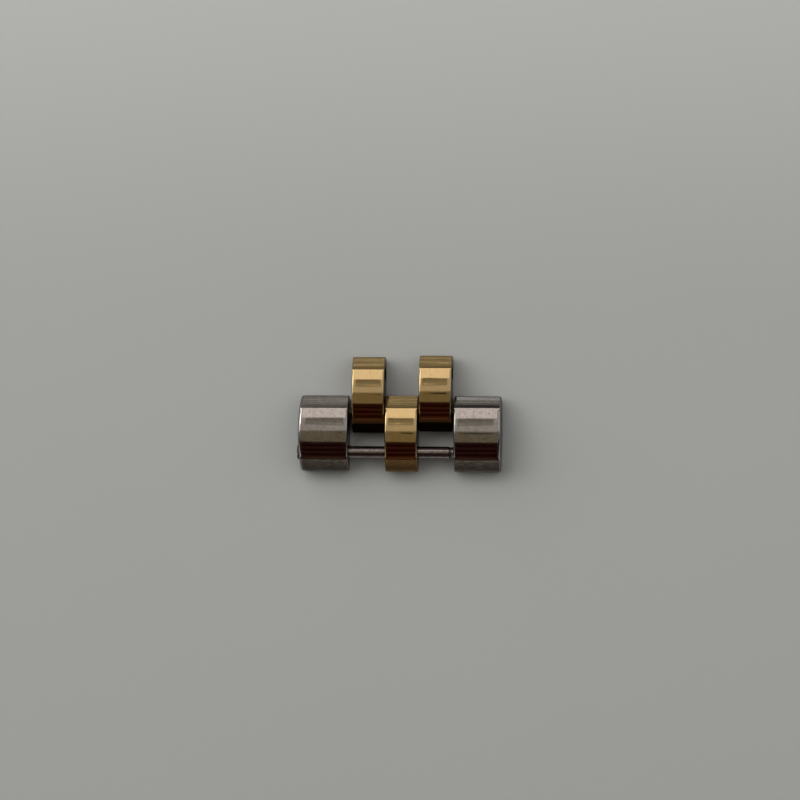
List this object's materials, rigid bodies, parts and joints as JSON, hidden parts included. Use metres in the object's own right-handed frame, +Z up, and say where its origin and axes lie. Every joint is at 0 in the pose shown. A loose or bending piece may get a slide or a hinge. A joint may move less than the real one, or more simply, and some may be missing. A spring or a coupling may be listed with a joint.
{
  "type": "watch bracelet link",
  "caption": "Two-tone watch bracelet link: steel outer links and a polished gold-coloured centre, two hinged intermediate links and a slotted link screw.",
  "frame": {"origin": "on the underside of the centre link, halfway along the outer row and halfway between its two outside faces", "axes": "+X across the bracelet along the pins, towards the outer link with the threaded hole; +Y along the bracelet, towards the hinged intermediate links; +Z up to the crown"},
  "size_m": [0.0167, 0.0095, 0.0025],
  "materials": {
    "outer_steel": "polished stainless steel with fine scratches and small pits; coarser, streaky flanks",
    "yellow_gold": "polished yellow gold with hairline scratches; duller, lined flanks and side faces",
    "pin_steel": "ground steel",
    "screw_steel": "turned steel, slightly mottled, with dark residue beside the thread"
  },
  "bodies": {
    "outer_row": {"left_outer_link": "outer_steel", "right_outer_link": "outer_steel", "centre_link": "yellow_gold", "link_pin": "pin_steel"},
    "left_intermediate": {"left_intermediate_link": "yellow_gold"},
    "right_intermediate": {"right_intermediate_link": "yellow_gold"},
    "screw": {"link_screw": "screw_steel"}
  },
  "joints": [
    {"name": "left_intermediate_swing", "type": "hinge", "parent": "outer_row", "child": "left_intermediate", "pos_m": [-0.00257, 0.0017, 0.00112], "axis": [1, 0, 0], "range_deg": [-147, 144]},
    {"name": "right_intermediate_swing", "type": "hinge", "parent": "outer_row", "child": "right_intermediate", "pos_m": [0.00291, 0.0017, 0.00112], "axis": [1, 0, 0], "range_deg": [-147, 144]},
    {"name": "link_screw_withdraw", "type": "slide", "parent": "outer_row", "child": "screw", "axis": [-1, 0, 0], "range_m": [-0.00018, 0.0145]}
  ]
}
